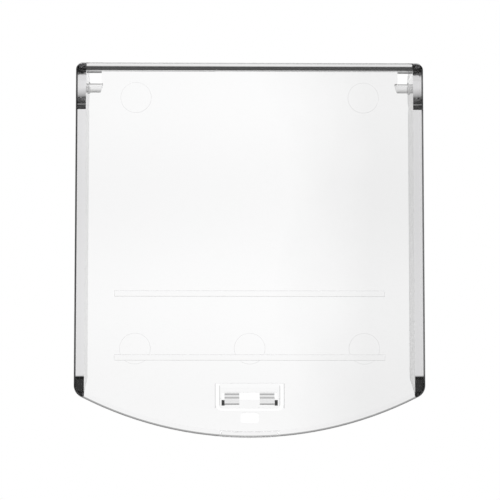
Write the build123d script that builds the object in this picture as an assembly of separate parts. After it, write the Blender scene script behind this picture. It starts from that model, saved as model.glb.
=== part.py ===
from build123d import *
import math
import os

# A clear, hinged, vandal-proof cover: one moulding in the real world, built
# here as its separate features. Millimetres. The origin is the middle of the
# hinge axis, X runs along that axis, -Y faces the viewer, Z is up.

# Sizes of the shell
TOP_TO_AXIS = 6.6  # hinge axis below the top edge
HEIGHT = 150.8  # top edge to the lowest point of the curved bottom
HALF_WIDTH = 70.0
BOTTOM_RADIUS = 148.1
TOP_CORNER = 2.8
BOTTOM_CORNER = 5.2
WALL = 3.0  # front panel
CHEEK_WALL = 4.0
BOTTOM_WALL = 2.5
FRONT_ROUNDING = 0.9
RIM_ROUNDING = 0.4

# Depths, all measured back from the front face
AXIS_DEPTH = 24.3
CHEEK_DEPTH = 28.5
TOP_WALL_DEPTH = 8.0
TOP_WALL = 1.1  # thickness
TOP_GUSSET = 2.0  # slope that stiffens the root of the top wall
BOTTOM_WALL_DEPTH = 5.5
FINGER_TAB_DEPTH = 9.0
FINGER_TAB_DRAFT = 0.25  # how much its ends lean in for each millimetre back

# Side profile of the cheeks
EAR_LOW_RADIUS = 8.45  # the ear's lower quarter is fuller than its upper one
NOTCH_TOP_ANGLE = 68.0  # where the round ear ends, below the horizontal
NOTCH_LOW = 9.7  # where the notch meets the straight rim, below the axis
NOTCH_CORNER = 0.1
CHEEK_STRAIGHT_END = 24.8  # above the lowest point
CHEEK_HEEL = 1.8
CHEEK_SLOPE_DEPTH = 8.0
CHEEK_SLOPE_END = 18.3  # above the lowest point
CHEEK_FOOT = 16.0  # where the slope meets the bottom wall
CHEEK_THROAT = 4.0

# Hinge pins and the mould windows in front of them
PIN_RADIUS = 1.95
PIN_LENGTH = 5.9  # along its top, from the cheek's inner face
PIN_SLANT = 1.15  # how much shorter it is along its lower side
PIN_ROOT = 0.6
PIN_TIP_EDGE = 0.25
WINDOW_LENGTH = 6.4  # from the cheek's inner face
WINDOW_DRAFT = 0.7  # how much taller than the pin it is, above and below
CORE_PAD = 0.25  # raised strip on the cheek, from the window back to the pin

# Shallow features on the back of the front panel
DISC_RADIUS = 6.2
DISC_DEPTH = 0.1
DISC_TAPER = 0.08  # width of the sloped edge round a disc
DISC_TO_SIDE = 24.2  # from the side of the cover to a disc's middle
DISC_TOP = 14.1  # below the top edge
DISC_LOW = 35.4  # above the lowest point
RAIL_TO_SIDE = 15.9
RAIL_WIDTH = 2.4
RAIL_HEIGHT = 1.0
RAIL_ROUNDING = 0.3
RAIL_UPPER = 57.5  # above the lowest point
RAIL_LOWER = 31.9

# Key slot below the latch
SLOT_WIDTH = 7.4
SLOT_HEIGHT = 4.3
SLOT_MIDDLE = 7.75  # above the lowest point
SLOT_CORNER = 1.3

# Snap latch: a tongue inside a U-shaped cut
CUT_TOP = 21.6  # above the lowest point
CUT_BOTTOM = 10.5
CUT_HALF_WIDTH = 13.6
CUT_CORNER = 2.6
TONGUE_SIDE_GAP = 1.5
TONGUE_END_GAP = 1.2
TONGUE_CORNER = 1.5
FLEXURE_THICKNESS = 0.9
FLEXURE_LENGTH = 1.5
SEAT_CLEARANCE = 0.15
HOOK_WINDOW_TOP = 18.0  # above the lowest point
HOOK_WINDOW_BOTTOM = 14.9
HOOK_WINDOW_EDGE = 0.9  # strip left at each side of the tongue
HOOK_INNER = 4.1
HOOK_OUTER = 10.0
HOOK_DEPTH = 9.8  # from the front face
STEM_TOP = 15.9  # above the lowest point
STEM_LOW = 13.3
STEM_RIB = 2.2  # height and length of the sloped rib beside a stem
BARB_DEPTH = 7.4
BARB_HEIGHT = 1.85
BARB_END_HEIGHT = 0.3
HOOK_ROUNDING = 0.25
BARB_LAND = 0.5
BARB_ROUNDING = 0.15

# Derived positions
FRONT = -AXIS_DEPTH
PANEL_BACK = FRONT + WALL
TOP = TOP_TO_AXIS
REACH = 400.0  # longer than anything on the cover
OVERRUN = 1.0  # how far a cut runs past the plastic
INNER_HALF = HALF_WIDTH - CHEEK_WALL  # to a cheek's inner face
WINDOW_HALF = PIN_RADIUS + WINDOW_DRAFT
ARC_MIDDLE = TOP - HEIGHT + BOTTOM_RADIUS
TONGUE_HALF = CUT_HALF_WIDTH - TONGUE_SIDE_GAP
TONGUE_END = CUT_BOTTOM + TONGUE_END_GAP
FLEXURE_RADIUS = FLEXURE_THICKNESS / 2
LATCH_AXIS_Y = FRONT + FLEXURE_RADIUS
LATCH_AXIS_Z = TOP - HEIGHT + CUT_TOP - FLEXURE_LENGTH
HOOK_WINDOW_HALF = TONGUE_HALF - HOOK_WINDOW_EDGE


def below_top(distance):
    """Z of a line that lies this far below the top edge."""
    return TOP - distance


def above_low(distance):
    """Z of a line that lies this far above the cover's lowest point."""
    return TOP - HEIGHT + distance


def facing(depth):
    """The upright plane this far behind the front face, seen from the front."""
    return Plane(origin=(0, FRONT + depth, 0), x_dir=(1, 0, 0), z_dir=(0, -1, 0))


def upright(face, depth_from, depth_to):
    """A face drawn in X and Z, made solid between two depths."""
    return extrude(facing(depth_from) * face, amount=depth_from - depth_to)


def box_face(x_from, x_to, z_from, z_to):
    """A rectangle drawn in X and Z."""
    middle = ((x_from + x_to) / 2, (z_from + z_to) / 2)
    return Pos(*middle) * Rectangle(abs(x_to - x_from), abs(z_to - z_from))


def side_view(points, half_width):
    """A solid with this outline in Y and Z, reaching to both sides."""
    plane = Plane(origin=(-half_width, 0, 0), x_dir=(0, 1, 0), z_dir=(1, 0, 0))
    return extrude(plane * points, amount=2 * half_width)


def outline():
    """The cover's front outline: straight top and sides, curved bottom."""
    z_low = ARC_MIDDLE - math.sqrt(BOTTOM_RADIUS**2 - HALF_WIDTH**2)
    top_left = (-HALF_WIDTH, TOP)
    top_right = (HALF_WIDTH, TOP)
    right = Line(top_right, (HALF_WIDTH, z_low))
    bottom = ThreePointArc((HALF_WIDTH, z_low), (0, TOP - HEIGHT), (-HALF_WIDTH, z_low))
    left = Line((-HALF_WIDTH, z_low), top_left)
    face = make_face(Curve() + [Line(top_left, top_right), right, bottom, left])
    top_corners = [v for v in face.vertices() if v.Y > 0]
    face = fillet(top_corners, TOP_CORNER)
    low_corners = face.vertices().sort_by(Axis.Y)[:2]
    return fillet(low_corners, BOTTOM_CORNER)


def between_cheeks():
    """The area between the inner faces of the two cheeks, drawn in X and Z."""
    return box_face(-INNER_HALF, INNER_HALF, -REACH, REACH)


def cut_area():
    """The whole U-shaped opening with the tongue's place inside it."""
    area = box_face(-CUT_HALF_WIDTH, CUT_HALF_WIDTH, above_low(CUT_BOTTOM), above_low(CUT_TOP))
    low = area.vertices().sort_by(Axis.Y)[:2]
    return fillet(low, CUT_CORNER)


def disc_mark(x, z):
    """The shallow round mark of an ejector, with a sloped edge."""
    plane = Plane(origin=(x, PANEL_BACK, z), x_dir=(1, 0, 0), z_dir=(0, -1, 0))
    low = (Align.CENTER, Align.CENTER, Align.MIN)
    return plane * Cone(DISC_RADIUS, DISC_RADIUS - DISC_TAPER, DISC_DEPTH, align=low)


def front_panel():
    """The flat front with its windows, key slot, U-shaped cut and disc marks."""
    panel = upright(outline(), 0, WALL)
    front_edges = panel.faces().sort_by(Axis.Y)[0].edges()
    panel = fillet(front_edges, FRONT_ROUNDING)
    window_end = INNER_HALF - WINDOW_LENGTH
    window_root = INNER_HALF - CORE_PAD
    right_window = box_face(window_end, window_root, -WINDOW_HALF, WINDOW_HALF)
    left_window = box_face(-window_end, -window_root, -WINDOW_HALF, WINDOW_HALF)
    key_slot = Pos(0, above_low(SLOT_MIDDLE)) * RectangleRounded(SLOT_WIDTH, SLOT_HEIGHT, SLOT_CORNER)
    for opening in (right_window, left_window, key_slot, cut_area()):
        panel -= upright(opening, -OVERRUN, WALL + OVERRUN)
    pitch = HALF_WIDTH - DISC_TO_SIDE
    spots = [(x * pitch, below_top(DISC_TOP)) for x in (-1, 1)]
    spots += [(x * pitch, above_low(DISC_LOW)) for x in (-1, 0, 1)]
    under_rail = upright(rail_area(RAIL_LOWER), 0, WALL + OVERRUN)
    for spot in spots:
        panel -= disc_mark(*spot) - under_rail
    return panel


def ear_point(degrees):
    """A point on the ear's lower side, this far below the horizontal."""
    angle = math.radians(degrees)
    centre = TOP - EAR_LOW_RADIUS
    return (centre + EAR_LOW_RADIUS * math.cos(angle), -EAR_LOW_RADIUS * math.sin(angle))


def cheek_profile():
    """Side view of a cheek: round ear, relief notch, straight rim, sloped heel."""
    rear = FRONT + CHEEK_DEPTH
    upper_middle = (TOP * math.cos(math.radians(45)), TOP * math.sin(math.radians(45)))
    low_middle = ear_point(NOTCH_TOP_ANGLE / 2)
    ear_end = ear_point(NOTCH_TOP_ANGLE)
    low = above_low(-OVERRUN)
    rim_end = above_low(CHEEK_STRAIGHT_END)
    slope_end = above_low(CHEEK_SLOPE_END)
    edge = [
        Line((PANEL_BACK, TOP), (0, TOP)),
        ThreePointArc((0, TOP), upper_middle, (TOP, 0)),
        ThreePointArc((TOP, 0), low_middle, ear_end),
        Polyline(
            ear_end,
            (rear, -NOTCH_LOW),
            (rear, rim_end),
            (FRONT + CHEEK_SLOPE_DEPTH, slope_end),
            (FRONT + BOTTOM_WALL_DEPTH, above_low(CHEEK_FOOT)),
            (FRONT + BOTTOM_WALL_DEPTH, low),
            (PANEL_BACK, low),
            (PANEL_BACK, TOP),
        ),
    ]
    face = make_face(Curve() + edge)
    notch = face.vertices().sort_by_distance((*ear_end, 0))[0]
    face = fillet([notch], NOTCH_CORNER)
    heel = face.vertices().sort_by_distance((rear, rim_end, 0))[0]
    face = fillet([heel], CHEEK_HEEL)
    throat = face.vertices().sort_by_distance((FRONT + CHEEK_SLOPE_DEPTH, slope_end, 0))[0]
    return fillet([throat], CHEEK_THROAT)


def core_pad():
    """The strip, on the right cheek, that the mould's core left between window and pin."""
    end = -PIN_RADIUS - PIN_ROOT
    corners = [(PANEL_BACK, WINDOW_HALF), (end, PIN_RADIUS), (end, -PIN_RADIUS), (PANEL_BACK, -WINDOW_HALF)]
    plane = Plane(origin=(INNER_HALF - CORE_PAD, 0, 0), x_dir=(0, 1, 0), z_dir=(1, 0, 0))
    return extrude(plane * make_face(Polyline(*corners, close=True)), amount=CORE_PAD)


def cheek(side):
    """One deep side wall, with its hinge ear at the top. Side is 1 or -1."""
    beside = outline() - between_cheeks()
    beside = beside & box_face(0, side * REACH, -REACH, REACH)
    wall = upright(beside, WALL, CHEEK_DEPTH + TOP)
    return (wall & side_view(cheek_profile(), REACH)) + for_side(core_pad(), side)


def hinge_pin(side):
    """One stub pin that snaps into the base, with a slanted tip."""
    root = INNER_HALF
    tip = root - PIN_LENGTH
    profile = make_face(
        Curve()
        + [
            Polyline(
                (root + OVERRUN, 0),
                (tip, 0),
                (tip, PIN_RADIUS - PIN_TIP_EDGE),
                (tip + PIN_TIP_EDGE, PIN_RADIUS),
                (root - PIN_ROOT, PIN_RADIUS),
            ),
            RadiusArc((root - PIN_ROOT, PIN_RADIUS), (root, PIN_RADIUS + PIN_ROOT), PIN_ROOT),
            Polyline(
                (root, PIN_RADIUS + PIN_ROOT),
                (root + OVERRUN, PIN_RADIUS + PIN_ROOT),
                (root + OVERRUN, 0),
            ),
        ]
    )
    pin = revolve(profile, Axis.X)
    past = tip - OVERRUN
    slant = [(past, PIN_RADIUS), (tip, PIN_RADIUS), (tip + PIN_SLANT, -PIN_RADIUS), (past, -PIN_RADIUS)]
    beyond_tip = make_face(Polyline(*slant, close=True))
    pin -= upright(beyond_tip, 0, 2 * AXIS_DEPTH)
    pin &= upright(between_cheeks(), 0, 2 * AXIS_DEPTH)
    return for_side(pin, side)


def top_wall():
    """The shallow wall under the top edge, between the cheeks."""
    area = outline() & between_cheeks() & box_face(-REACH, REACH, TOP - TOP_WALL, REACH)
    wall = upright(area, WALL, TOP_WALL_DEPTH)
    root = TOP - TOP_WALL
    slope = [(PANEL_BACK, root - TOP_GUSSET), (PANEL_BACK + TOP_GUSSET, root), (PANEL_BACK, root)]
    gusset = side_view(make_face(Polyline(*slope, close=True)), REACH)
    return wall + (gusset & upright(between_cheeks(), WALL, TOP_WALL_DEPTH))


def low_band():
    """The curved band along the bottom edge, between the cheeks."""
    inside = Pos(0, ARC_MIDDLE) * Circle(BOTTOM_RADIUS - BOTTOM_WALL)
    low_half = box_face(-REACH, REACH, -REACH, -HEIGHT / 2)
    return (outline() & between_cheeks() & low_half) - inside


def bottom_wall():
    """The shallow wall that follows the curved bottom edge."""
    return upright(low_band(), WALL, BOTTOM_WALL_DEPTH)


def finger_tab():
    """The deeper middle of the bottom wall, with slanted ends, for a finger."""
    rise = FINGER_TAB_DEPTH - BOTTOM_WALL_DEPTH
    foot = TONGUE_HALF
    head = foot - rise * FINGER_TAB_DRAFT
    start = FRONT + BOTTOM_WALL_DEPTH
    corners = [(-foot, start), (foot, start), (head, start + rise), (-head, start + rise)]
    plan = make_face(Polyline(*corners, close=True))
    block = extrude(Plane.XY * plan, amount=-REACH)
    tab = upright(low_band(), BOTTOM_WALL_DEPTH, FINGER_TAB_DEPTH) & block
    rear_edges = tab.faces().sort_by(Axis.Y)[-1].edges()
    return fillet(rear_edges, RIM_ROUNDING)


def rail_area(distance):
    """The strip that one label rail covers, drawn in X and Z."""
    z = above_low(distance)
    half = RAIL_WIDTH / 2
    reach = HALF_WIDTH - RAIL_TO_SIDE
    return box_face(-reach, reach, z - half, z + half)


def label_rail(distance):
    """One long low rail on the back of the panel."""
    bar = upright(rail_area(distance), WALL, WALL + RAIL_HEIGHT)
    return fillet(bar.faces().sort_by(Axis.Y)[-1].edges(), RAIL_ROUNDING)


def seat(radius):
    """A round bar along the latch's bending line."""
    line = Plane(origin=(-REACH / 2, LATCH_AXIS_Y, LATCH_AXIS_Z), x_dir=(0, 1, 0), z_dir=(1, 0, 0))
    return extrude(line * Circle(radius), amount=REACH)


def latch_flexure():
    """The thin strip at the tongue's root, where the latch bends."""
    area = box_face(-TONGUE_HALF, TONGUE_HALF, LATCH_AXIS_Z, above_low(CUT_TOP))
    strip = upright(area, 0, FLEXURE_THICKNESS)
    return strip - seat(FLEXURE_RADIUS + SEAT_CLEARANCE)


def latch_tongue():
    """The sprung tongue with the window that the hooks were moulded through."""
    shoulder = LATCH_AXIS_Z - FLEXURE_RADIUS
    end = above_low(TONGUE_END)
    plate = box_face(-TONGUE_HALF, TONGUE_HALF, end, shoulder)
    plate = fillet(plate.vertices().sort_by(Axis.Y)[:2], TONGUE_CORNER)
    window = box_face(
        -HOOK_WINDOW_HALF, HOOK_WINDOW_HALF, above_low(HOOK_WINDOW_BOTTOM), above_low(HOOK_WINDOW_TOP)
    )
    tongue = upright(plate - window, 0, WALL)
    lip = upright(box_face(-TONGUE_HALF, TONGUE_HALF, shoulder, LATCH_AXIS_Z), 0, FLEXURE_THICKNESS)
    roll = seat(FLEXURE_RADIUS) & upright(
        box_face(-TONGUE_HALF, TONGUE_HALF, shoulder, -TOP), -OVERRUN, AXIS_DEPTH
    )
    return tongue + lip + roll


def hook_piece(points, inner=HOOK_INNER, outer=HOOK_OUTER):
    """A block with this outline in Y and Z, as wide as one hook unless told otherwise."""
    plane = Plane(origin=(inner, 0, 0), x_dir=(0, 1, 0), z_dir=(1, 0, 0))
    return extrude(plane * make_face(Polyline(*points, close=True)), amount=outer - inner)


def for_side(shape, side):
    """The shape itself on the right, its mirror image on the left."""
    return shape if side > 0 else mirror(shape, Plane.YZ)


def latch_stem(side):
    """The short arm of one hook, straight back from the tongue, with its rib."""
    stem_top = above_low(STEM_TOP)
    stem_low = above_low(STEM_LOW)
    end = FRONT + HOOK_DEPTH
    points = [(PANEL_BACK, stem_low), (end, stem_low), (end, stem_top), (PANEL_BACK, stem_top)]
    stem = hook_piece(points)
    low_rear = stem.faces().sort_by(Axis.Y)[-1].edges().sort_by(Axis.Z)[:1]
    stem = fillet(low_rear, HOOK_ROUNDING)
    rib_top = above_low(HOOK_WINDOW_BOTTOM)
    slope = [(PANEL_BACK, rib_top - STEM_RIB), (PANEL_BACK + STEM_RIB, rib_top), (PANEL_BACK, rib_top)]
    stem += hook_piece(slope, HOOK_OUTER, HOOK_WINDOW_HALF)
    return for_side(stem, side)


def latch_barb(side):
    """The catch on top of one arm, with a lead-in slope at the back."""
    stem_top = above_low(STEM_TOP)
    catch = FRONT + BARB_DEPTH
    points = [
        (catch, stem_top),
        (FRONT + HOOK_DEPTH, stem_top),
        (FRONT + HOOK_DEPTH, stem_top + BARB_END_HEIGHT),
        (catch + BARB_LAND, stem_top + BARB_HEIGHT),
        (catch, stem_top + BARB_HEIGHT),
    ]
    barb = hook_piece(points)
    crest = barb.edges().filter_by(Axis.X).sort_by(Axis.Z)[-2:]
    return for_side(fillet(crest, BARB_ROUNDING), side)


def build():
    """Makes every piece and writes each one to its own file."""
    os.makedirs("parts", exist_ok=True)
    pieces = {
        "front_panel": front_panel(),
        "top_wall": top_wall(),
        "left_cheek": cheek(-1),
        "right_cheek": cheek(1),
        "bottom_wall": bottom_wall(),
        "finger_tab": finger_tab(),
        "left_hinge_pin": hinge_pin(-1),
        "right_hinge_pin": hinge_pin(1),
        "upper_label_rail": label_rail(RAIL_UPPER),
        "lower_label_rail": label_rail(RAIL_LOWER),
        "latch_flexure": latch_flexure(),
        "latch_tongue": latch_tongue(),
        "left_latch_stem": latch_stem(-1),
        "right_latch_stem": latch_stem(1),
        "left_latch_barb": latch_barb(-1),
        "right_latch_barb": latch_barb(1),
    }
    for name, piece in pieces.items():
        export_step(piece, f"parts/{name}.step")


build()
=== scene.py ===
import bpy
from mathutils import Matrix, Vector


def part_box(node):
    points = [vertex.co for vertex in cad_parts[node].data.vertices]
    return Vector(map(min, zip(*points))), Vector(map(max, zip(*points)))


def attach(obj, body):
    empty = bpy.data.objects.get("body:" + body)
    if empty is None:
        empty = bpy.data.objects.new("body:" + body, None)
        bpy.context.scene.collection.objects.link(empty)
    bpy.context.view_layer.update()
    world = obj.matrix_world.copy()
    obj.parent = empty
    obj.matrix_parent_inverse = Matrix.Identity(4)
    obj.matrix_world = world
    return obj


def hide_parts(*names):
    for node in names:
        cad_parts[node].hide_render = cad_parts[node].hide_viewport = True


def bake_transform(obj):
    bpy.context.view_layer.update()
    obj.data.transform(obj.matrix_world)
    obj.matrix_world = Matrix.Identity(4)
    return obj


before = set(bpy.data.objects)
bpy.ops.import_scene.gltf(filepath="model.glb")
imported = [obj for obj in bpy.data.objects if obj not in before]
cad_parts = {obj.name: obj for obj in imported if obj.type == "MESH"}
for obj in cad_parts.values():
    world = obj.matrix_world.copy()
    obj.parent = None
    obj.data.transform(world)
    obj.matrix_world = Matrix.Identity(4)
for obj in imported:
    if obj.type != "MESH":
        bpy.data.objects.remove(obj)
"""A clear, hinged, vandal-proof cover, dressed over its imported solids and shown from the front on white."""
import logging
import math
from dataclasses import dataclass, field
from enum import Enum

import bmesh
import bpy
from mathutils import Matrix, Vector

MM = 0.001
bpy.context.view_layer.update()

Point = tuple[float, float, float]
Span = tuple[float, float]
Plane = tuple[Point, Point]

# Planes of the front panel and of the side walls' outer faces, in the shared frame
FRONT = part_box("front_panel")[0][1]
PANEL_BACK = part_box("front_panel")[1][1]
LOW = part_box("front_panel")[0][2]
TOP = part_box("front_panel")[1][2]
HALF_WIDTH = 70 * MM

# Distances in metres: points that count as one, points on a cutting plane, and play round a zone
MERGE = 1e-6
JOINED = 2e-6
ON_PLANE = 1e-7
SLACK = 0.06 * MM

# Edges round the largest gap that is closed after joining, and the least value to divide by
GAP_EDGES = 8
TINY = 1e-6

# Directions that faces look in, on the right-hand side
VIEWER: Point = (0.0, -1.0, 0.0)
REAR: Point = (0.0, 1.0, 0.0)
UP: Point = (0.0, 0.0, 1.0)
DOWN: Point = (0.0, 0.0, -1.0)
OUTWARD: Point = (1.0, 0.0, 0.0)
ANY_WAY: Point = (0.0, 0.0, 0.0)

# Smallest cosines between a face's normal and such a direction
FLAT = 0.99
FACING = 0.9
NEARLY = 0.8
SLOPING = 0.75
LEANING = 0.6
HALF_TURNED = 0.5
SLIGHTLY = 0.1
NOT_AWAY = -0.99
EVERY = -1.0

# Shading: edges sharper than this stay crisp, and large faces decide the shading of small ones
CRISP_DEG = 30
FLAT_WEIGHT = 100

log = logging.getLogger("cover")


class Body(Enum):
    """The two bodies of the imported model."""

    COVER = "cover"
    LATCH = "latch"


class Mask(Enum):
    """Values that the meshes carry for their finish: painted shade as darker lines, whose strongest values
    also dull the edges, and forms that show faintly.
    """

    # painted shade: darker lines and patches on edges, windows, notches and hooks; at its strongest it also
    # makes the surface duller
    EDGE = "painted_shade_dull_edge"
    FAINT = "faint_edge"


def clean_copy(name: str) -> bmesh.types.BMesh:
    """Copies a CAD node's triangles as one closed skin.

    Args:
        name: The node.

    Returns:
        A bmesh with its doubles merged.
    """
    skin = bmesh.new()
    skin.from_mesh(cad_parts[name].data)
    bmesh.ops.remove_doubles(skin, verts=skin.verts, dist=MERGE)
    bmesh.ops.recalc_face_normals(skin, faces=skin.faces)
    return skin


def block(low: Point, high: Point) -> bmesh.types.BMesh:
    """A plain block that bridges two pieces before they are joined.

    Args:
        low: Its lowest corner, in metres.
        high: Its highest corner.

    Returns:
        The block as a closed skin.
    """
    skin = bmesh.new()
    bmesh.ops.create_cube(skin, size=1.0)
    for vert in skin.verts:
        vert.co = Vector(a + (b - a) * (c + 0.5) for a, b, c in zip(low, high, vert.co))
    return skin


def corner_strip(half: float, depth: float, height: float, leg: float) -> bmesh.types.BMesh:
    """A square bar turned by an eighth, which fills a long inner corner with a chamfer.

    Args:
        half: Half its length along x, in metres.
        depth: The corner's y.
        height: The corner's z.
        leg: The chamfer's legs.

    Returns:
        The bar as a closed skin.
    """
    skin = bmesh.new()
    bmesh.ops.create_cube(skin, size=1.0)
    side = leg * math.sqrt(2)
    bmesh.ops.scale(skin, verts=skin.verts, vec=(2 * half, side, side))
    bmesh.ops.rotate(skin, verts=skin.verts, matrix=Matrix.Rotation(math.radians(45), 3, "X"))
    bmesh.ops.translate(skin, verts=skin.verts, vec=(0, depth, height))
    return skin


def level(height: float) -> Plane:
    """The level plane at a height, as a point and its normal."""
    return (0.0, 0.0, height), UP


def upright_pair(out: float) -> list[Plane]:
    """The two upright planes at one distance left and right of the middle."""
    return [((side * out, 0.0, 0.0), OUTWARD) for side in (-1, 1)]


def cut_at(mesh: bpy.types.Mesh, planes: list[Plane]) -> None:
    """Splits a mesh's faces along planes, so that it can bend there or carry a narrow line of painted shade.

    Args:
        mesh: The mesh, changed in place.
        planes: Points on the planes with their normals.
    """
    skin = bmesh.new()
    skin.from_mesh(mesh)
    for place, normal in planes:
        every = [*skin.verts, *skin.edges, *skin.faces]
        bmesh.ops.bisect_plane(skin, geom=every, plane_co=place, plane_no=normal, dist=ON_PLANE)
    bmesh.ops.remove_doubles(skin, verts=skin.verts, dist=MERGE)
    skin.to_mesh(mesh)
    skin.free()


def work_object(name: str, skin: bmesh.types.BMesh) -> bpy.types.Object:
    """Turns a skin into an object to join with others, without the shading of its CAD node.

    Args:
        name: The object's name.
        skin: Its closed skin, which is freed.

    Returns:
        The object, linked to the scene.
    """
    plain = bpy.data.meshes.new(name)
    skin.to_mesh(plain)
    skin.free()
    shading = plain.attributes.get("custom_normal")
    if shading:
        plain.attributes.remove(shading)
    made = bpy.data.objects.new(plain.name, plain)
    bpy.context.scene.collection.objects.link(made)
    return made


def close_up(mesh: bpy.types.Mesh) -> int:
    """Merges, closes and triangulates a joined mesh, with its faces pointing outwards.

    Args:
        mesh: The mesh, changed in place.

    Returns:
        The number of edges that are still open.
    """
    skin = bmesh.new()
    skin.from_mesh(mesh)
    bmesh.ops.remove_doubles(skin, verts=skin.verts, dist=JOINED)
    bmesh.ops.dissolve_degenerate(skin, edges=skin.edges, dist=JOINED)
    rims = [edge for edge in skin.edges if edge.is_boundary]
    bmesh.ops.holes_fill(skin, edges=rims, sides=GAP_EDGES)
    bmesh.ops.triangulate(skin, faces=[face for face in skin.faces if len(face.verts) > 3])
    bmesh.ops.recalc_face_normals(skin, faces=skin.faces)
    still_open = sum(not edge.is_manifold for edge in skin.edges)
    skin.to_mesh(mesh)
    skin.free()
    return still_open


def fused(skins: list[bmesh.types.BMesh]) -> bpy.types.Mesh:
    """Joins closed skins that touch or overlap into one, with no walls left inside it.

    Args:
        skins: The skins, the largest first. They are freed.

    Returns:
        A new mesh.
    """
    copies = [work_object(f"work_{number}", skin) for number, skin in enumerate(skins)]
    base = copies[0]
    for other in copies[1:]:
        join = base.modifiers.new(other.name, "BOOLEAN")
        join.operation = "UNION"
        join.solver = "EXACT"
        join.object = other
    bpy.context.view_layer.update()
    graph = bpy.context.evaluated_depsgraph_get()
    joined = bpy.data.meshes.new_from_object(base.evaluated_get(graph))
    for copy in copies:
        bpy.data.objects.remove(copy)
    still_open = close_up(joined)
    log.info("fused %d skins: %d faces, %d open edges", len(copies), len(joined.polygons), still_open)
    return joined


@dataclass(frozen=True)
class Zone:
    """Faces in a box that look one way, on both sides of the cover, and their share of a mask."""

    mask: Mask
    amount: float
    low: Point
    high: Point
    way: Point = ANY_WAY
    least: float = EVERY

    def holds(self, middle: Vector, out: Vector) -> bool:
        """Tells whether a face is meant.

        Args:
            middle: The face's middle, mirrored to the right-hand side.
            out: Its normal, mirrored in the same way.

        Returns:
            True where the face lies in the box and looks the right way.
        """
        inside = all(a - SLACK <= c <= b + SLACK for a, c, b in zip(self.low, middle, self.high))
        return inside and out.dot(Vector(self.way)) >= self.least


def zone_of(node: str, mask: Mask, amount: float, way: Point, least: float) -> Zone:
    """A zone round one node.

    Args:
        node: A node in the middle or on the right.
        mask: The mask to set.
        amount: Its strength from 0 to 1.
        way: The direction that the faces look in.
        least: The smallest cosine between that and a face's normal.

    Returns:
        The zone.
    """
    low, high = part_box(node)
    return Zone(mask, amount, (max(low[0], 0.0), low[1], low[2]), (high[0], high[1], high[2]), way, least)


def front_strip(amount: float, depth: float, across: Span, heights: Span, least: float = FLAT) -> Zone:
    """A strip of a flat face that looks towards the viewer, as a line of painted shade.

    Args:
        amount: How dark it is, from 0 to 1.
        depth: The face's y.
        across: Where the strip starts and ends along x, on the right-hand side.
        heights: Where it starts and ends along z.
        least: The smallest cosine between the way to the viewer and a face's normal.

    Returns:
        The zone.
    """
    low = (across[0], depth - SLACK, heights[0])
    high = (across[1], depth + SLACK, heights[1])
    return Zone(Mask.EDGE, amount, low, high, VIEWER, least)


@dataclass(frozen=True)
class OutlinePaintedShade:
    """How much painted shade the rounding round the front's outline gets: darkest where it turns to the side.
    """

    steepest: float = -0.995
    shallowest: float = -0.03
    back: float = FRONT + 0.95 * MM
    side_from: float = HALF_WIDTH - 3.5 * MM
    top_from: float = TOP - 1.2 * MM
    along_top: float = 0.3
    along_bottom: float = 0.75
    power: int = 4

    def at(self, middle: Vector, out: Vector) -> float:
        """The painted shade of one face.

        Args:
            middle: The face's middle, on the right-hand side.
            out: Its normal.

        Returns:
            A value from 0 to 1.
        """
        rounded = self.steepest < out.y < self.shallowest and middle.y < self.back
        near = middle.x > self.side_from or middle.z > self.top_from or out.z < self.shallowest
        if not (rounded and near):
            return 0.0
        sideways = abs(out.x) / max(math.hypot(out.x, out.z), TINY)
        value = self.along_top if out.z > 0 else self.along_bottom
        return value + (1 - value) * sideways**self.power


def mark_faces(mesh: bpy.types.Mesh, zones: list[Zone]) -> None:
    """Writes the masks that the finish reads, the painted shade among them.

    Args:
        mesh: The piece's mesh.
        zones: The places that carry a mask; the strongest one counts.
    """
    outline = OutlinePaintedShade()
    marks = {mask: mesh.attributes.new(mask.value, "FLOAT", "FACE").data for mask in Mask}
    for face in mesh.polygons:
        middle = face.center.copy()
        out = face.normal.copy()
        if middle.x < 0:
            middle.x = -middle.x
            out.x = -out.x
        values = {Mask.EDGE: outline.at(middle, out), Mask.FAINT: 0.0}
        for zone in zones:
            if zone.holds(middle, out):
                values[zone.mask] = max(values[zone.mask], zone.amount)
        for mask, value in values.items():
            marks[mask][face.index].value = value


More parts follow.
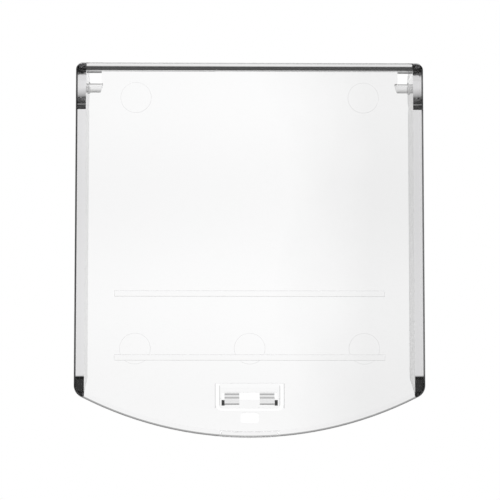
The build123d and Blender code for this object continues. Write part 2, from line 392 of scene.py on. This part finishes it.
class Tree:
    """A short way to write a node tree."""

    def __init__(self, tree: bpy.types.NodeTree) -> None:
        """Empties the tree and keeps it."""
        self.tree = tree
        tree.nodes.clear()

    def add(self, kind: str, **values: object) -> bpy.types.Node:
        """Adds a node and sets its fields.

        Args:
            kind: The node's type, without its Shader prefix.
            values: Its settings by name.

        Returns:
            The node.
        """
        node = self.tree.nodes.new(f"ShaderNode{kind}")
        for name, value in values.items():
            setattr(node, name, value)
        return node

    def join(self, source: bpy.types.NodeSocket, target: bpy.types.NodeSocket) -> None:
        """Links two sockets."""
        self.tree.links.new(source, target)

    def feed(self, value: object, target: bpy.types.NodeSocket) -> None:
        """Links a socket to an input, or writes a number or a colour into it.

        Args:
            value: A socket, a number or a colour.
            target: The input.
        """
        if isinstance(value, bpy.types.NodeSocket):
            self.join(value, target)
        else:
            target.default_value = value

    def math(self, kind: str, first: object, second: object = 0.0) -> bpy.types.NodeSocket:
        """Adds a math node.

        Args:
            kind: The operation.
            first: A socket or a number.
            second: A socket or a number.

        Returns:
            Its result.
        """
        node = self.add("Math", operation=kind)
        for number, value in enumerate((first, second)):
            self.feed(value, node.inputs[number])
        return node.outputs[0]

    def between(
        self, value: bpy.types.NodeSocket, start: float, end: float, low: float, high: float
    ) -> bpy.types.NodeSocket:
        """Turns a value from start to end into one from low to high, held at both ends.

        Args:
            value: The value.
            start: Where the result is low.
            end: Where the result is high.
            low: The result at start.
            high: The result at end.

        Returns:
            The result.
        """
        node = self.add("MapRange")
        self.join(value, node.inputs["Value"])
        for name, number in (("From Min", start), ("From Max", end), ("To Min", low), ("To Max", high)):
            node.inputs[name].default_value = number
        return node.outputs["Result"]

    def blend(self, kind: str, amount: object, first: object, second: object) -> bpy.types.NodeSocket:
        """Mixes two colours.

        Args:
            kind: The way of mixing.
            amount: The share of the second one, a socket or a number.
            first: A socket or a colour.
            second: A socket or a colour.

        Returns:
            The mixed colour.
        """
        node = self.add("Mix", data_type="RGBA", blend_type=kind)
        shown = {socket.name: socket for socket in node.inputs if socket.enabled}
        for name, value in (("Factor", amount), ("A", first), ("B", second)):
            self.feed(value, shown[name])
        return next(socket for socket in node.outputs if socket.enabled)

    def noise(self, where: bpy.types.NodeSocket, scale: float, detail: float) -> bpy.types.NodeSocket:
        """Adds a noise pattern.

        Args:
            where: The coordinates.
            scale: How fine it is.
            detail: How many finer layers it has.

        Returns:
            Its value.
        """
        node = self.add("TexNoise")
        self.join(where, node.inputs["Vector"])
        node.inputs["Scale"].default_value = scale
        node.inputs["Detail"].default_value = detail
        return node.outputs["Fac"]

    def part_of(self, where: bpy.types.NodeSocket, axis: str) -> bpy.types.NodeSocket:
        """Takes one axis out of coordinates.

        Args:
            where: The coordinates.
            axis: X, Y or Z.

        Returns:
            The value along that axis.
        """
        node = self.add("SeparateXYZ")
        self.join(where, node.inputs[0])
        return node.outputs[axis]

    def mask(self, mask: Mask) -> bpy.types.NodeSocket:
        """Reads one of the masks that the meshes carry."""
        return self.add("Attribute", attribute_name=mask.value).outputs["Fac"]


def grey(value: float) -> tuple[float, float, float, float]:
    """A neutral colour of one brightness."""
    return (value, value, value, 1.0)


@dataclass(frozen=True)
class ClearPlastic:
    """Clear, colourless polycarbonate: polished faces, broad flow waves, hazy patches and dull edges, with
    painted light and shade drifting across it and painted shade on its edges.
    """

    name: str = "clear_polycarbonate"
    ior: float = 1.58
    density: float = 45.0
    absorption: tuple[float, float, float, float] = (0.818, 0.815, 0.822, 1.0)
    # painted light and shade, as a tint from left to right: clearest in the middle, with soft borders
    left_painted_shade: float = 0.975
    right_painted_shade: float = 0.895
    rising: Span = (0.0, 0.45)
    falling: Span = (0.58, 0.85)
    cloud_scale: float = 22.0
    cloud_detail: float = 3.0
    cloud_range: Span = (0.3, 0.7)
    cloud_drift: Span = (-0.06, 0.06)
    # painted light and shade: a slow swell of the tint from top to bottom
    painted_light_height: float = -0.0894
    painted_light_pitch: float = 75.0
    painted_light_low: float = 0.965
    # painted shade on edges, darker on the left, and painted shade in the reflections over the side walls
    edge_shade_left: float = 0.006
    edge_shade_right: float = 0.04
    side_shine: float = 0.35
    side_border: Span = (65.5 * MM, 66.2 * MM)
    # haze, and dull lines on the strongest edges
    haze_scale: float = 160.0
    haze_detail: float = 4.0
    haze_range: Span = (0.35, 0.7)
    haze: Span = (0.012, 0.05)
    dull_from: float = 0.86
    dull: float = 0.3
    # flow waves
    wave_scale: float = 45.0
    wave_detail: float = 1.0
    wave_strength: float = 0.25
    wave_height: float = 0.02 * MM

    def material(self) -> bpy.types.Material:
        """Builds the node tree.

        Returns:
            The material.
        """
        made = bpy.data.materials.new(self.name)
        made.use_nodes = True
        t = Tree(made.node_tree)
        out = t.add("OutputMaterial")
        body = t.add("BsdfPrincipled")
        body.inputs["IOR"].default_value = self.ior
        body.inputs["Transmission Weight"].default_value = 1.0
        where = t.add("TexCoord").outputs["Object"]
        t.join(self.colour(t, where), body.inputs["Base Color"])
        t.join(self.roughness(t, where), body.inputs["Roughness"])
        t.join(self.relief(t, where), body.inputs["Normal"])
        t.join(self.shine(t, where), body.inputs["Specular Tint"])
        t.join(t.math("SUBTRACT", 1.0, t.mask(Mask.FAINT)), body.inputs["Alpha"])
        t.join(body.outputs["BSDF"], out.inputs["Surface"])
        inside = t.add("VolumeAbsorption")
        inside.inputs["Color"].default_value = self.absorption
        inside.inputs["Density"].default_value = self.density
        t.join(inside.outputs[0], out.inputs["Volume"])
        return made

    def colour(self, t: Tree, where: bpy.types.NodeSocket) -> bpy.types.NodeSocket:
        """Painted light and shade as a faint tint that drifts across the moulding, and painted shade that
        makes the edges darker.

        Args:
            t: The node tree.
            where: The coordinates.

        Returns:
            The colour.
        """
        across = t.between(t.part_of(where, "X"), -HALF_WIDTH, HALF_WIDTH, 0.0, 1.0)
        cloud = t.noise(where, self.cloud_scale, self.cloud_detail)
        place = t.math("ADD", across, t.between(cloud, *self.cloud_range, *self.cloud_drift))
        left = t.between(place, *self.rising, self.left_painted_shade, 1.0)
        right = t.between(place, *self.falling, 1.0, self.right_painted_shade)
        height = t.math("SUBTRACT", t.part_of(where, "Z"), self.painted_light_height)
        swing = t.math("COSINE", t.math("MULTIPLY", height, self.painted_light_pitch))
        swell = t.between(swing, -1.0, 1.0, self.painted_light_low, 1.0)
        # painted light and shade: the tint across the moulding, times its swell from top to bottom
        tint = t.math("MULTIPLY", t.math("MULTIPLY", left, right), swell)
        # painted shade of the edges, darker on the left than on the right
        dark = t.blend("MIX", across, grey(self.edge_shade_left), grey(self.edge_shade_right))
        return t.blend("MIX", t.mask(Mask.EDGE), tint, dark)

    def shine(self, t: Tree, where: bpy.types.NodeSocket) -> bpy.types.NodeSocket:
        """Painted shade in the reflections: full mirror strength on the panel, and less over the side walls,
        which faced the dark.

        Args:
            t: The node tree.
            where: The coordinates.

        Returns:
            The tint of the reflections.
        """
        side = t.math("ABSOLUTE", t.part_of(where, "X"))
        return t.between(side, *self.side_border, 1.0, self.side_shine)

    def roughness(self, t: Tree, where: bpy.types.NodeSocket) -> bpy.types.NodeSocket:
        """Polished, with a faint haze in patches and dull lines on the strongest edges.

        Args:
            t: The node tree.
            where: The coordinates.

        Returns:
            The roughness.
        """
        haze = t.noise(where, self.haze_scale, self.haze_detail)
        polished = t.between(haze, *self.haze_range, *self.haze)
        return t.math("ADD", polished, t.between(t.mask(Mask.EDGE), self.dull_from, 1.0, 0.0, self.dull))

    def relief(self, t: Tree, where: bpy.types.NodeSocket) -> bpy.types.NodeSocket:
        """Broad, shallow waves, as the plastic leaves them when it flows into the mould.

        Args:
            t: The node tree.
            where: The coordinates.

        Returns:
            The bumped normal.
        """
        bump = t.add("Bump")
        bump.inputs["Strength"].default_value = self.wave_strength
        bump.inputs["Distance"].default_value = self.wave_height
        t.join(t.noise(where, self.wave_scale, self.wave_detail), bump.inputs["Height"])
        return bump.outputs["Normal"]


def dressed(name: str, mesh: bpy.types.Mesh, finish: bpy.types.Material) -> bpy.types.Object:
    """Makes a piece's object, with its finish and smooth shading with crisp edges.

    Args:
        name: The object's name.
        mesh: Its mesh.
        finish: Its material.

    Returns:
        The object, linked to the scene.
    """
    piece = bpy.data.objects.new(name, mesh)
    bpy.context.scene.collection.objects.link(piece)
    mesh.materials.clear()
    mesh.materials.append(finish)
    mesh.shade_smooth()
    mesh.set_sharp_from_angle(angle=math.radians(CRISP_DEG))
    even = piece.modifiers.new("flat faces stay flat", "WEIGHTED_NORMAL")
    even.keep_sharp = True
    even.weight = FLAT_WEIGHT
    return piece


@dataclass
class ClearMoulding:
    """The one-piece moulding: panel, walls, pins and rails, without the latch."""

    nodes: list[str] = field(
        default_factory=lambda: [
            "front_panel",
            "top_wall",
            "left_cheek",
            "right_cheek",
            "bottom_wall",
            "finger_tab",
            "left_hinge_pin",
            "right_hinge_pin",
            "upper_label_rail",
            "lower_label_rail",
        ]
    )
    # inner face and rear rim of a side wall
    inner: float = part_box("right_cheek")[0][0]
    rim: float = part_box("right_cheek")[1][1]
    # chamfer in the inner corner of the top wall, which runs a little into the side walls
    chamfer: float = 0.3 * MM
    chamfer_run_in: float = 0.5 * MM
    # mould window in front of a pin, its sloping roof, and the line of painted shade over it
    window_x: Span = (59.6 * MM, 65.75 * MM)
    window_top: float = 2.65 * MM
    window_line: float = 0.4 * MM
    window_roof: float = 1.2 * MM
    over_window_shade: float = 0.75
    # two strips of painted shade on the front over the top wall, the lower one darker
    band_line: Span = (1.85 * MM, 1.35 * MM)
    band_shade: float = 0.45
    top_strip_shade: float = 0.12
    # U-shaped cut round the tongue, and the line of painted shade beside it
    cut_gap: float = 1.5 * MM
    cut_line: float = 0.25 * MM
    cut_shade: float = 0.55
    # notch between ear and rim, whose faces carry painted shade
    notch_inset: float = 0.3 * MM
    notch_depth: float = 5 * MM
    notch_heights: Span = (-9.9 * MM, -5.3 * MM)
    # core pad between window and pin, whose upward faces carry painted shade
    pad_step: float = 0.3 * MM
    pad_half: float = 3 * MM
    # ejector marks, pins, rails and tab, with painted shade under the tab
    mark_depth: float = 0.12 * MM
    mark_margin: float = 1 * MM
    faint_mark: float = 0.6
    faint_pin: float = 0.5
    faint_rail: float = 0.62
    faint_tab: float = 0.7
    tab_shade: float = 0.65
    tab_least: float = -0.4

    def cut_side(self) -> float:
        """The half width of the U-shaped cut round the tongue."""
        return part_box("latch_flexure")[1][0] + self.cut_gap

    def window_strip(self) -> Span:
        """The heights of the dark line over a mould window."""
        return self.window_top, self.window_top + self.window_line

    def band_strip(self) -> Span:
        """The heights of the darker strip over the top wall."""
        return TOP - self.band_line[0], TOP - self.band_line[1]

    def front_lines(self) -> list[Zone]:
        """The lines of painted shade on the front: beside the cut, over the windows and over the top wall.

        Returns:
            The zones.
        """
        cut = self.cut_side()
        low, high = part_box("latch_tongue")
        band = self.band_strip()
        width = (0.0, self.window_x[1])
        return [
            front_strip(self.cut_shade, FRONT, (cut, cut + self.cut_line), (low[2], high[2])),
            front_strip(self.over_window_shade, FRONT, self.window_x, self.window_strip()),
            front_strip(self.band_shade, FRONT, width, band),
            front_strip(self.top_strip_shade, FRONT, width, (band[1], TOP)),
        ]

    def ear_lines(self) -> list[Zone]:
        """Painted shade on the faces of windows, notches and core pads.

        Returns:
            The zones.
        """
        pin_low, pin_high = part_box("right_hinge_pin")
        window_low = (pin_low[0], FRONT, pin_high[2])
        window_high = (self.inner, PANEL_BACK, pin_high[2] + self.window_roof)
        notch_low = (self.inner + self.notch_inset, self.rim - self.notch_depth, self.notch_heights[0])
        notch_high = (HALF_WIDTH, self.rim, self.notch_heights[1])
        pad_low = (self.inner - self.pad_step, PANEL_BACK, -self.pad_half)
        pad_high = (self.inner, self.rim, self.pad_half)
        return [
            Zone(Mask.EDGE, 1.0, window_low, window_high, DOWN, LEANING),
            Zone(Mask.EDGE, 1.0, notch_low, notch_high),
            Zone(Mask.EDGE, 1.0, pad_low, pad_high, UP, LEANING),
        ]

    def faint_forms(self) -> list[Zone]:
        """The ejector marks, pins, rails and tab, which show little in the photograph.

        Returns:
            The zones.
        """
        mark_low = (0.0, PANEL_BACK - self.mark_depth, LOW)
        mark_high = (self.inner - self.mark_margin, PANEL_BACK, TOP)
        return [
            Zone(Mask.FAINT, self.faint_mark, mark_low, mark_high, VIEWER, NOT_AWAY),
            # painted shade on the pins' upper faces
            zone_of("right_hinge_pin", Mask.EDGE, 1.0, UP, NEARLY),
            zone_of("right_hinge_pin", Mask.FAINT, self.faint_pin, DOWN, -HALF_TURNED),
            zone_of("upper_label_rail", Mask.FAINT, self.faint_rail, VIEWER, NOT_AWAY),
            zone_of("lower_label_rail", Mask.FAINT, self.faint_rail, VIEWER, NOT_AWAY),
            # painted shade under the finger tab
            zone_of("finger_tab", Mask.EDGE, self.tab_shade, DOWN, HALF_TURNED),
            zone_of("finger_tab", Mask.FAINT, self.faint_tab, UP, self.tab_least),
        ]

    def line_planes(self) -> list[Plane]:
        """The planes that the front's lines start and end at.

        Returns:
            The planes.
        """
        upright = []
        for out in (self.cut_side() + self.cut_line, *self.window_x):
            upright += upright_pair(out)
        return [*upright, *[level(height) for height in (*self.window_strip(), *self.band_strip())]]

    def build(self, plastic: bpy.types.Material) -> bpy.types.Object:
        """Makes the shell as one skin and puts it in place of its nodes.

        Args:
            plastic: The clear finish.

        Returns:
            The shell's object.
        """
        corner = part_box("top_wall")[0][2]
        strip = corner_strip(self.inner + self.chamfer_run_in, PANEL_BACK, corner, self.chamfer)
        mesh = fused([*[clean_copy(name) for name in self.nodes], strip])
        cut_at(mesh, self.line_planes())
        mark_faces(mesh, self.front_lines() + self.ear_lines() + self.faint_forms())
        shell = dressed("clear_shell", mesh, plastic)
        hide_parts(*self.nodes)
        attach(shell, Body.COVER.value)
        return shell


@dataclass
class SnapLatch:
    """The sprung tongue with its two hooks and the strip that it bends on."""

    nodes: list[str] = field(
        default_factory=lambda: [
            "latch_tongue",
            "latch_flexure",
            "left_latch_stem",
            "right_latch_stem",
            "left_latch_barb",
            "right_latch_barb",
        ]
    )
    # the strip that bends, between the panel and the tongue's rounded shoulder
    root_gap: float = 0.02 * MM
    shoulder_radius: float = 0.45 * MM
    overlap: float = 0.1 * MM
    bends: int = 6
    # lines of painted shade along the stems and barbs
    line: float = 0.45 * MM
    thin_line: float = 0.28 * MM
    foot: float = 0.6 * MM
    crest_shade: float = 0.85
    seat_shade: float = 0.8
    foot_shade: float = 0.85
    side_shade: float = 0.6
    end_shade: float = 0.2
    faint_slope: float = 0.75
    slope_way: Point = (0.0, 0.7, 0.7)
    crest_way: Point = (0.0, -0.7, 0.7)
    # painted shade on the sill of the tongue's window, from a little under the stems, and on the tongue's
    # sides
    sill_drop: float = 1 * MM
    sill_span: Span = (-1 * MM, 0.2 * MM)
    sill_shade: float = 0.6
    flank: float = 0.1 * MM
    flank_shade: float = 0.5
    lip_shade: float = 0.55

    def hook_faces(self) -> list[Zone]:
        """The stems' and barbs' own faces: painted shade on crests, ends and sides, and a pale slope.

        Returns:
            The zones.
        """
        barb = "right_latch_barb"
        stem = "right_latch_stem"
        return [
            zone_of(barb, Mask.FAINT, self.faint_slope, self.slope_way, NEARLY),
            zone_of(barb, Mask.EDGE, 1.0, self.crest_way, SLOPING),
            zone_of(barb, Mask.EDGE, self.side_shade, OUTWARD, NEARLY),
            zone_of(stem, Mask.EDGE, self.end_shade, REAR, FACING),
            zone_of(stem, Mask.EDGE, 1.0, UP, NEARLY),
            zone_of(stem, Mask.EDGE, 1.0, DOWN, NEARLY),
            zone_of(stem, Mask.EDGE, self.side_shade, OUTWARD, NEARLY),
        ]

    def hook_lines(self) -> list[Zone]:
        """The narrow lines of painted shade across a hook: along its crest, over its stem and at its foot.

        Returns:
            The zones.
        """
        barb_low, barb_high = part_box("right_latch_barb")
        stem_low, stem_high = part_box("right_latch_stem")
        crest = (barb_high[2] - self.line, barb_high[2])
        seat_low = (barb_low[0], stem_low[1], stem_high[2] - self.thin_line)
        seat_high = (barb_high[0], barb_low[1] + SLACK, stem_high[2] + self.thin_line)
        foot_low = (stem_low[0], stem_high[1] - self.foot, stem_low[2])
        foot_high = (barb_high[0], stem_high[1] + SLACK, stem_low[2] + self.foot + self.line)
        return [
            front_strip(self.crest_shade, barb_low[1], (barb_low[0], barb_high[0]), crest, FACING),
            Zone(Mask.EDGE, self.seat_shade, seat_low, seat_high, VIEWER, FACING),
            Zone(Mask.EDGE, self.foot_shade, foot_low, foot_high, REAR, SLIGHTLY),
        ]

    def tongue_lines(self) -> list[Zone]:
        """The lines of painted shade on the tongue's sides and on its window's sill.

        Returns:
            The zones.
        """
        low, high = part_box("latch_tongue")
        flank = high[0] - self.flank
        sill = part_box("right_latch_stem")[1][2] - self.sill_drop
        sill_low = (0.0, low[1], sill + self.sill_span[0])
        sill_high = (flank, high[1], sill + self.sill_span[1])
        return [
            Zone(Mask.EDGE, self.sill_shade, sill_low, sill_high, UP, NEARLY),
            Zone(Mask.EDGE, self.flank_shade, (flank, low[1], low[2]), tuple(high), OUTWARD, NEARLY),
            front_strip(self.lip_shade, low[1], (high[0] - self.thin_line, high[0]), (low[2], high[2])),
        ]

    def line_planes(self) -> list[Plane]:
        """The planes that the latch's lines start and end at.

        Returns:
            The planes.
        """
        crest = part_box("right_latch_barb")[1][2] - self.line
        stem_low, stem_high = (corner[2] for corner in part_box("right_latch_stem"))
        foot = stem_low + self.foot + self.line
        heights = (crest, stem_high + self.thin_line, stem_high - self.thin_line, foot)
        return [
            *[level(height) for height in heights],
            *upright_pair(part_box("latch_tongue")[1][0] - self.thin_line),
        ]

    def build(self, plastic: bpy.types.Material) -> bpy.types.Object:
        """Makes the latch as one skin, split into rows at its root where it would bend.

        Args:
            plastic: The clear finish.

        Returns:
            The latch's object.
        """
        strip_low, strip_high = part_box("latch_flexure")
        root = strip_high[2] - self.root_gap
        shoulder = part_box("latch_tongue")[1][2] - self.shoulder_radius
        low = (strip_low[0], strip_low[1], shoulder - self.overlap)
        high = (strip_high[0], strip_high[1], root)
        mesh = fused([*[clean_copy(name) for name in self.nodes], block(low, high)])
        for vert in mesh.vertices:
            vert.co.z = min(vert.co.z, root)
        cut_at(mesh, [level(root + (shoulder - root) * step / self.bends) for step in range(1, self.bends)])
        cut_at(mesh, self.line_planes())
        mark_faces(mesh, self.hook_faces() + self.hook_lines() + self.tongue_lines())
        latch = dressed("snap_latch", mesh, plastic)
        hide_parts(*self.nodes)
        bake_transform(latch)
        return latch


@dataclass
class Studio:
    """Backdrop, lights and camera of the photograph."""

    # camera, from the width of the picture at the front face
    picture_mm: float = 200.0
    distance_mm: float = 950.0
    centre: Span = (0.1 * MM, -69.4 * MM)
    below_deg: float = 5.8
    left_deg: float = 0.9
    sensor_mm: float = 36.0
    # floor
    floor_drop_mm: float = 60.0
    floor_half_m: float = 4.0
    floor_cells: int = 8
    paper: Span = (0.88, 0.92)
    grain_scale: float = 30.0
    grain_detail: float = 2.0
    floor_glow: float = 1.06
    floor_share: float = 0.8
    # painted shade on the floor near the cover, for light that has turned inside the plastic
    floor_reach_m: Span = (0.05, 0.85)
    floor_painted_shade: float = 0.03
    # painted shade on the floor: surfaces that light has met before the near floor, and then the floor in
    # front, is dimmed for it
    clear_turns: float = 2.5
    deep_turns: float = 4.5
    # sky: white up to the first angle, dark from the second one on
    white_to_deg: float = 11.0
    dark_from_deg: float = 57.0
    sky_dim: float = 0.03
    sky_light: float = 0.75
    # painted shade: floor and sky grow dim for light that has turned many times inside the plastic
    fade_turns: Span = (4.4, 6.5)
    fade_to: float = 0.05
    # lamp
    lamp_size: float = 0.8
    lamp_watts: float = 4.0
    lamp_place: Point = (-0.5, -0.6, 0.9)
    lamp_aim: Point = (0.0, 0.0, -0.068)

    def seen(self, t: Tree) -> bpy.types.NodeSocket:
        """Picks the rays from the camera, a mirror or clear plastic.

        Args:
            t: The node tree.

        Returns:
            A value of 1 for such rays.
        """
        path = t.add("LightPath")
        some = t.math("MAXIMUM", path.outputs["Is Camera Ray"], path.outputs["Is Glossy Ray"])
        return t.math("MAXIMUM", some, path.outputs["Is Transmission Ray"])

    def fading(self, t: Tree) -> bpy.types.NodeSocket:
        """Painted shade: less white after many turns inside the plastic, standing in for the light that each
        one loses.
        """
        path = t.add("LightPath")
        return t.between(path.outputs["Ray Depth"], *self.fade_turns, 1.0, self.fade_to)

    def after(self, t: Tree, turns: float) -> bpy.types.NodeSocket:
        """A value of 1 for light that has met more surfaces than this."""
        path = t.add("LightPath")
        return t.math("GREATER_THAN", path.outputs["Ray Depth"], turns)

    def floor_light(self, t: Tree, where: bpy.types.NodeSocket) -> bpy.types.NodeSocket:
        """How bright the floor is: white straight through the plastic, with painted shade near it for turned
        light.

        Args:
            t: The node tree.
            where: The floor's coordinates.

        Returns:
            The strength of its glow.
        """
        direct = t.add("LightPath").outputs["Is Camera Ray"]
        length = t.add("VectorMath", operation="LENGTH")
        t.join(where, length.inputs[0])
        reach = (*self.floor_reach_m, self.floor_painted_shade, 1.0)
        around = t.between(length.outputs["Value"], *reach)
        behind = t.between(t.part_of(where, "Y"), *reach)
        first = t.blend("MIX", self.after(t, self.clear_turns), grey(1.0), around)
        far = t.blend("MIX", self.after(t, self.deep_turns), first, behind)
        turned = t.math("MULTIPLY", t.math("SUBTRACT", 1.0, direct), t.math("MULTIPLY", far, self.fading(t)))
        return t.math("ADD", turned, t.math("MULTIPLY", direct, self.floor_glow))

    def floor_paper(self) -> bpy.types.Material:
        """The floor's pale paper, which glows for the rays that it is seen by.

        Returns:
            The material.
        """
        made = bpy.data.materials.new("pale_floor")
        made.use_nodes = True
        t = Tree(made.node_tree)
        out = t.add("OutputMaterial")
        mix = t.add("MixShader")
        paper = t.add("BsdfDiffuse")
        glow = t.add("Emission")
        where = t.add("TexCoord").outputs["Object"]
        grain = t.noise(where, self.grain_scale, self.grain_detail)
        t.join(t.blend("MIX", grain, grey(self.paper[0]), grey(self.paper[1])), paper.inputs["Color"])
        t.join(self.floor_light(t, where), glow.inputs["Strength"])
        t.join(t.math("MULTIPLY", self.seen(t), self.floor_share), mix.inputs["Fac"])
        t.join(paper.outputs[0], mix.inputs[1])
        t.join(glow.outputs[0], mix.inputs[2])
        t.join(mix.outputs[0], out.inputs["Surface"])
        return made

    def floor(self) -> None:
        """A pale floor some way below the hanging cover, which keeps its shadow."""
        sheet = bpy.data.meshes.new("floor")
        skin = bmesh.new()
        cells = self.floor_cells
        bmesh.ops.create_grid(skin, x_segments=cells, y_segments=cells, size=self.floor_half_m)
        bmesh.ops.translate(skin, verts=skin.verts, vec=(0, 0, LOW - self.floor_drop_mm * MM))
        skin.to_mesh(sheet)
        skin.free()
        ground = bpy.data.objects.new("floor", sheet)
        ground.data.materials.append(self.floor_paper())
        bpy.context.scene.collection.objects.link(ground)

    def world(self) -> None:
        """White round the horizon and dark overhead, so that clear edges show."""
        sky = bpy.data.worlds.new("studio")
        bpy.context.scene.world = sky
        sky.use_nodes = True
        t = Tree(sky.node_tree)
        out = t.add("OutputWorld")
        back = t.add("Background")
        back.inputs["Color"].default_value = grey(1.0)
        steep = t.math("ABSOLUTE", t.part_of(t.add("TexCoord").outputs["Generated"], "Z"))
        start = math.sin(math.radians(self.white_to_deg))
        end = math.sin(math.radians(self.dark_from_deg))
        shown = t.math("MULTIPLY", t.between(steep, start, end, 1.0, self.sky_dim), self.fading(t))
        direct = t.add("LightPath").outputs["Is Camera Ray"]
        strength = t.add("Mix", data_type="FLOAT")
        t.join(self.seen(t), strength.inputs["Factor"])
        strength.inputs["A"].default_value = self.sky_light
        t.join(t.math("MAXIMUM", direct, shown), strength.inputs["B"])
        t.join(strength.outputs["Result"], back.inputs["Strength"])
        t.join(back.outputs[0], out.inputs["Surface"])

    def lamp(self) -> None:
        """One large soft lamp, high on the left, that the plastic doesn't show through."""
        light = bpy.data.lights.new("softbox", "AREA")
        light.shape = "RECTANGLE"
        light.size = self.lamp_size
        light.size_y = self.lamp_size
        light.energy = self.lamp_watts
        box = bpy.data.objects.new("softbox", light)
        box.location = self.lamp_place
        aim = Vector(self.lamp_aim) - box.location
        box.rotation_euler = aim.to_track_quat("-Z", "Y").to_euler()
        box.visible_transmission = False
        bpy.context.scene.collection.objects.link(box)

    def camera(self) -> None:
        """Places the camera a little below and to the left, as the photograph was taken."""
        lens = bpy.data.cameras.new("photo_camera")
        lens.sensor_width = self.sensor_mm
        lens.lens = self.sensor_mm * self.distance_mm / self.picture_mm
        eye = bpy.data.objects.new("photo_camera", lens)
        pitch = math.radians(self.below_deg)
        yaw = math.radians(self.left_deg)
        view = Vector((math.sin(yaw) * math.cos(pitch), math.cos(yaw) * math.cos(pitch), math.sin(pitch)))
        eye.location = Vector((self.centre[0], FRONT, self.centre[1])) - self.distance_mm * MM * view
        eye.rotation_euler = view.to_track_quat("-Z", "Y").to_euler()
        bpy.context.scene.collection.objects.link(eye)
        bpy.context.scene.camera = eye

    def build(self) -> None:
        """Sets up the whole studio."""
        bpy.context.scene.view_settings.view_transform = "Standard"
        self.camera()
        self.world()
        self.lamp()
        self.floor()


def main() -> None:
    """Builds the studio, the moulding and the latch."""
    logging.basicConfig(level=logging.INFO)
    Studio().build()
    plastic = ClearPlastic().material()
    for part in (ClearMoulding(), SnapLatch()):
        piece = part.build(plastic)
        log.info("%s: %d faces", piece.name, len(piece.data.polygons))


if __name__ == "__main__":
    main()
